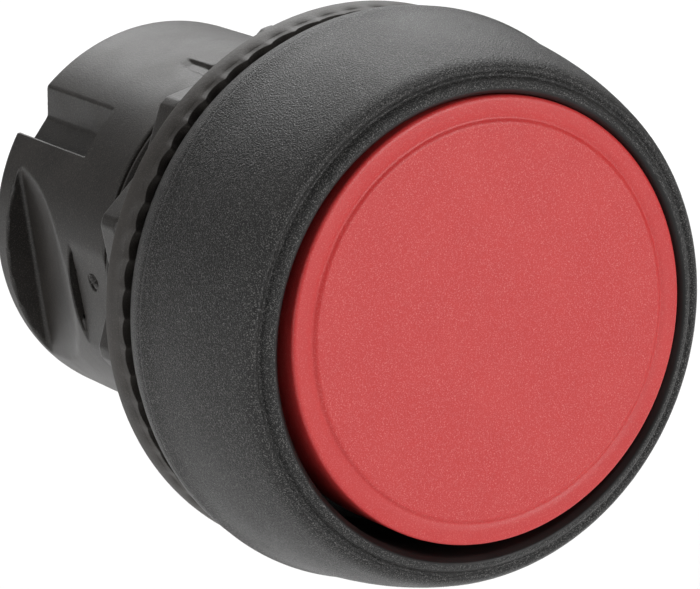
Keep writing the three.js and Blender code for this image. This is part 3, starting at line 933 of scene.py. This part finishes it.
flats_kept(make_object(
    "keyed_washer",
    *turned(square_ring(RUNNING_BORE, WASHER_R, WASHER_FRONT, WASHER_REAR, 0.1), 720, keyed),
    "washer", "thrust_washer", "spring_steel", spring_steel,
))
nut_section = [
    (RUNNING_BORE + 0.2, NUT_FRONT, 0.05),
    (NUT_CORNER - 0.12, NUT_FRONT, 0.1),
    (NUT_CORNER, NUT_FRONT + 0.25, 0.1),
    (NUT_CORNER, NUT_REAR - 0.3, 0.15),
    (NUT_CORNER - 0.2, NUT_REAR, 0.15),
    (RUNNING_BORE + 0.2, NUT_REAR, 0.05),
    *((RUNNING_BORE, y, 0) for y in np.linspace(NUT_REAR - 0.2, NUT_FRONT + 0.2, 16)),
]
flats_kept(make_object(
    "star_nut", *turned(nut_section, 600, starred), "nut", "mounting_nut", "barrel_black", barrel_black
))


# ---- Floor, light and camera ---------------------------------------------------------------------
# A white studio: a pale floor well below the held head, a wide soft light overhead and paler ones
# to the sides. The lens is long, so the head shows little perspective.

FLOOR_LEVEL, FLOOR_HALF = -0.06, 3
VIEW_AZIMUTH, VIEW_ELEVATION = math.radians(-30.95), math.radians(13.45)
VIEW_DISTANCE, VIEW_RIGHT, VIEW_UP = 220.3, -0.18, -0.85
FOCAL_LENGTH, SENSOR_WIDTH = 217.5, 36

floor_mesh = bpy.data.meshes.new("floor")
floor_corners = [
    (x * FLOOR_HALF, y * FLOOR_HALF, FLOOR_LEVEL) for x, y in ((-1, -1), (1, -1), (1, 1), (-1, 1))
]
floor_mesh.from_pydata(floor_corners, [], [(0, 1, 2, 3)])
floor = bpy.data.objects.new("floor", floor_mesh)
bpy.context.scene.collection.objects.link(floor)
floor_paint = bpy.data.materials.new("floor_paint")
floor_paint.use_nodes = True
floor_shader = floor_paint.node_tree.nodes["Principled BSDF"]
floor_shader.inputs["Base Color"].default_value = (0.92, 0.92, 0.92, 1)
floor_shader.inputs["Roughness"].default_value = 1.0
floor.data.materials.append(floor_paint)

world = bpy.data.worlds.new("studio")
world.use_nodes = True
sky = world.node_tree.nodes["Background"]
sky.inputs["Color"].default_value = (1, 1, 1, 1)
sky.inputs["Strength"].default_value = 0.2
bpy.context.scene.world = world
bpy.context.scene.view_settings.view_transform = "Standard"


def soft_light(name, place, width, height, watts):
    """A wide lamp at a place, turned to the head; sizes in metres."""
    lamp = bpy.data.lights.new(name, "AREA")
    lamp.shape, lamp.size, lamp.size_y, lamp.energy = "RECTANGLE", width, height, watts
    made = bpy.data.objects.new(name, lamp)
    made.location = place
    made.rotation_mode = "QUATERNION"
    made.rotation_quaternion = (Vector((0, 0, 0)) - Vector(place)).to_track_quat("-Z", "Y")
    bpy.context.scene.collection.objects.link(made)


soft_light("overhead", (0.16, 0.36, 0.5), 0.6, 0.6, 4)
soft_light("back", (0.35, 0.85, 0.38), 0.6, 0.4, 0.6)
soft_light("front", (0.22, -0.55, 0.2), 0.35, 0.35, 2.2)
soft_light("side", (-0.6, 0.0, 0.0), 0.35, 0.35, 1.3)

right = Vector((math.cos(VIEW_AZIMUTH), math.sin(VIEW_AZIMUTH), 0))
level_back = Vector((math.sin(VIEW_AZIMUTH), -math.cos(VIEW_AZIMUTH), 0))
back = level_back * math.cos(VIEW_ELEVATION) + Vector((0, 0, math.sin(VIEW_ELEVATION)))
up = back.cross(right)
lens = bpy.data.cameras.new("camera")
lens.lens, lens.sensor_width = FOCAL_LENGTH, SENSOR_WIDTH
lens.clip_start, lens.clip_end = 0.01, 10
camera = bpy.data.objects.new("camera", lens)
facing = Matrix((right, up, back)).transposed().to_4x4()
place = (right * VIEW_RIGHT + up * VIEW_UP + back * VIEW_DISTANCE) * MM
camera.matrix_world = Matrix.Translation(place) @ facing
bpy.context.scene.collection.objects.link(camera)
bpy.context.scene.camera = camera
